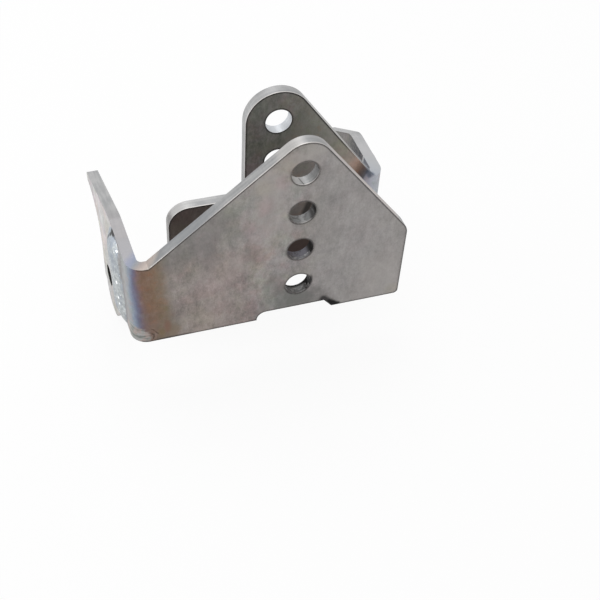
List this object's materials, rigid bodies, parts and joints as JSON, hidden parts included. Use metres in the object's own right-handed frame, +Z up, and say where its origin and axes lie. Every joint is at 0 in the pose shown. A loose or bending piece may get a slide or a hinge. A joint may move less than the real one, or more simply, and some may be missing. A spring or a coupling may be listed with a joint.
{
  "type": "track bar relocation bracket",
  "caption": "Welded steel axle bracket: two drilled upright plates take a track bar's end at a choice of heights, and side arms seat on the axle tube.",
  "frame": {"origin": "on the centre line of the axle tube, in the upright plane of the bolt holes", "axes": "+X along the axle tube towards the right arm, +Y from the front plate to the rear plate and the tube, +Z up"},
  "size_m": [0.1646, 0.1266, 0.1466],
  "materials": {
    "plate_steel": "bare hot-rolled steel, as cut, bent and welded, with heat tint beside the welds",
    "weld_metal": "bare weld metal, rough and silvery"
  },
  "bodies": {
    "root": {"front_plate": "plate_steel", "left_arm": "plate_steel", "left_seam_weld": "weld_metal", "rear_plate": "plate_steel", "right_arm": "plate_steel", "right_seam_weld": "weld_metal"}
  },
  "joints": []
}
